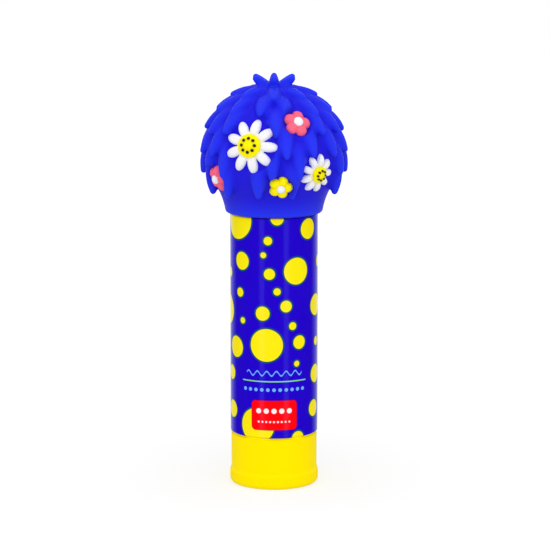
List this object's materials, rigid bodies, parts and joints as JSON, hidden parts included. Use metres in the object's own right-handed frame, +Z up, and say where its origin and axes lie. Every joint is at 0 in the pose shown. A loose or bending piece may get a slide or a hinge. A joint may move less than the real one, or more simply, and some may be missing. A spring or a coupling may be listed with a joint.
{
  "type": "glue stick",
  "caption": "Twist-up glue stick: a turning base knob, a polka-dot sleeve and a pull-off cap under a soft tufted ball with moulded flowers.",
  "frame": {"origin": "centre of the knob's underside, where the stick stands on a table", "axes": "+Z up the stick through the cap; -Y is the front, which the big flower and the print face"},
  "size_m": [0.0454, 0.0454, 0.127],
  "materials": {
    "knob_yellow": "satin moulded",
    "sleeve_print": "glossy print, yellow polka dots on deep blue",
    "tube_white": "natural moulded",
    "screw_white": "natural moulded",
    "follower_white": "natural moulded",
    "glue_white": "waxy",
    "cap_blue": "moulded",
    "topper_rubber": "satin soft-touch",
    "inlay_white": "satin",
    "inlay_yellow": "satin",
    "inlay_black": "satin",
    "inlay_pink": "satin"
  },
  "bodies": {
    "barrel": {"inner_tube": "tube_white", "printed_sleeve": "sleeve_print"},
    "knob": {"base_knob": "knob_yellow", "lead_screw": "screw_white"},
    "carriage": {"follower": "follower_white", "glue": "glue_white"},
    "cap": {"cap_shell": "cap_blue", "topper": "topper_rubber", "daisy_1_petals": "inlay_white", "daisy_1_centre": "inlay_yellow", "daisy_1_seeds": "inlay_black", "daisy_2_petals": "inlay_white", "daisy_2_centre": "inlay_yellow", "daisy_2_seeds": "inlay_black", "daisy_3_petals": "inlay_white", "daisy_3_centre": "inlay_yellow", "daisy_3_seeds": "inlay_black", "daisy_4_petals": "inlay_white", "daisy_4_centre": "inlay_yellow", "daisy_4_seeds": "inlay_black", "blossom_1_petals": "inlay_pink", "blossom_1_centre": "inlay_white", "blossom_2_petals": "inlay_pink", "blossom_2_centre": "inlay_white", "blossom_3_petals": "inlay_yellow", "blossom_3_centre": "inlay_white", "blossom_4_petals": "inlay_yellow", "blossom_4_centre": "inlay_white"}
  },
  "joints": [
    {"name": "knob_turn", "type": "hinge", "parent": "barrel", "child": "knob", "pos_m": [0, 0, 0], "axis": [0, 0, -1], "range_deg": [0, 4950]},
    {"name": "glue_rise", "type": "slide", "parent": "barrel", "child": "carriage", "axis": [0, 0, 1], "range_m": [0, 0.055]},
    {"name": "cap_pull", "type": "slide", "parent": "carriage", "child": "cap", "axis": [0, 0, 1], "range_m": [0, 0.045]}
  ],
  "couplings": [
    {"joint": "glue_rise", "follows": "knob_turn", "m_per_rad": 0.00063662}
  ]
}
